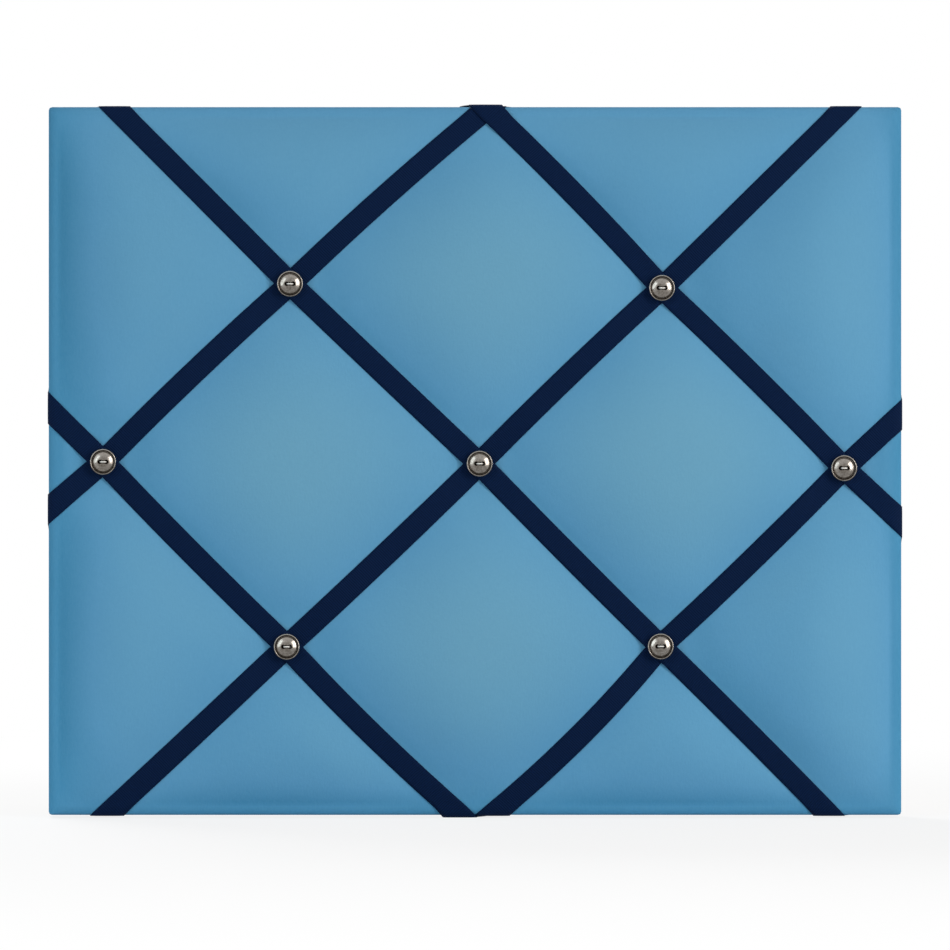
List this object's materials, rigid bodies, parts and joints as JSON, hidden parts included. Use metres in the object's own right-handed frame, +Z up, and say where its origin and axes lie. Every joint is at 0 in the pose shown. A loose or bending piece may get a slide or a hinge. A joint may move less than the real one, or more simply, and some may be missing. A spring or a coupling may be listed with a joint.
{
  "type": "french memo board",
  "caption": "Padded cloth-covered memo board with a diamond lattice of ribbons held by sewn buttons, and D-ring hangers on its back.",
  "frame": {"origin": "middle of the back panel's rear face", "axes": "+Y out of the back towards the wall, +Z up, +X to the right as seen from the front"},
  "size_m": [0.3312, 0.0277, 0.2764],
  "materials": {
    "cloth": "brushed microfibre cloth, light blue",
    "batting": "loose white polyester fibre",
    "fibreboard": "raw fibreboard",
    "card": "kraft-faced card",
    "ribbon": "fine ribbed navy ribbon",
    "pewter": "antique pewter with a dark groove",
    "thread": "twisted pale grey button thread",
    "staple_steel": "galvanised flat wire",
    "hanger_steel": "nickel-plated steel"
  },
  "bodies": {
    "board": {"core_board": "fibreboard", "batting_pad": "batting", "fabric_cover": "cloth", "back_panel": "card", "rising_ribbon_left": "ribbon", "rising_ribbon_middle": "ribbon", "rising_ribbon_right": "ribbon", "falling_ribbon_left": "ribbon", "falling_ribbon_middle": "ribbon", "falling_ribbon_right": "ribbon", "button_top_left": "pewter", "button_top_right": "pewter", "button_left": "pewter", "button_centre": "pewter", "button_right": "pewter", "button_bottom_left": "pewter", "button_bottom_right": "pewter", "button_thread_top_left": "thread", "button_thread_top_right": "thread", "button_thread_left": "thread", "button_thread_centre": "thread", "button_thread_right": "thread", "button_thread_bottom_left": "thread", "button_thread_bottom_right": "thread", "rising_ribbon_left_staple_top": "staple_steel", "rising_ribbon_left_staple_left": "staple_steel", "rising_ribbon_middle_staple_top": "staple_steel", "rising_ribbon_middle_staple_bottom": "staple_steel", "rising_ribbon_right_staple_right": "staple_steel", "rising_ribbon_right_staple_bottom": "staple_steel", "falling_ribbon_left_staple_bottom": "staple_steel", "falling_ribbon_left_staple_left": "staple_steel", "falling_ribbon_middle_staple_top": "staple_steel", "falling_ribbon_middle_staple_bottom": "staple_steel", "falling_ribbon_right_staple_top": "staple_steel", "falling_ribbon_right_staple_right": "staple_steel", "panel_staple_top_1": "staple_steel", "panel_staple_top_2": "staple_steel", "panel_staple_top_3": "staple_steel", "panel_staple_top_4": "staple_steel", "panel_staple_right_1": "staple_steel", "panel_staple_right_2": "staple_steel", "panel_staple_right_3": "staple_steel", "panel_staple_bottom_1": "staple_steel", "panel_staple_bottom_2": "staple_steel", "panel_staple_bottom_3": "staple_steel", "panel_staple_bottom_4": "staple_steel", "panel_staple_left_1": "staple_steel", "panel_staple_left_2": "staple_steel", "panel_staple_left_3": "staple_steel", "hanger_strap_left": "hanger_steel", "hanger_screw_left": "hanger_steel", "hanger_strap_right": "hanger_steel", "hanger_screw_right": "hanger_steel"},
    "ring_left": {"hanger_ring_left": "hanger_steel"},
    "ring_right": {"hanger_ring_right": "hanger_steel"}
  },
  "joints": [
    {"name": "ring_left_swing", "type": "hinge", "parent": "board", "child": "ring_left", "pos_m": [-0.09, 0.0023, 0.095], "axis": [-1, 0, 0], "range_deg": [-5, 170]},
    {"name": "ring_right_swing", "type": "hinge", "parent": "board", "child": "ring_right", "pos_m": [0.09, 0.0023, 0.095], "axis": [-1, 0, 0], "range_deg": [-5, 170]}
  ]
}
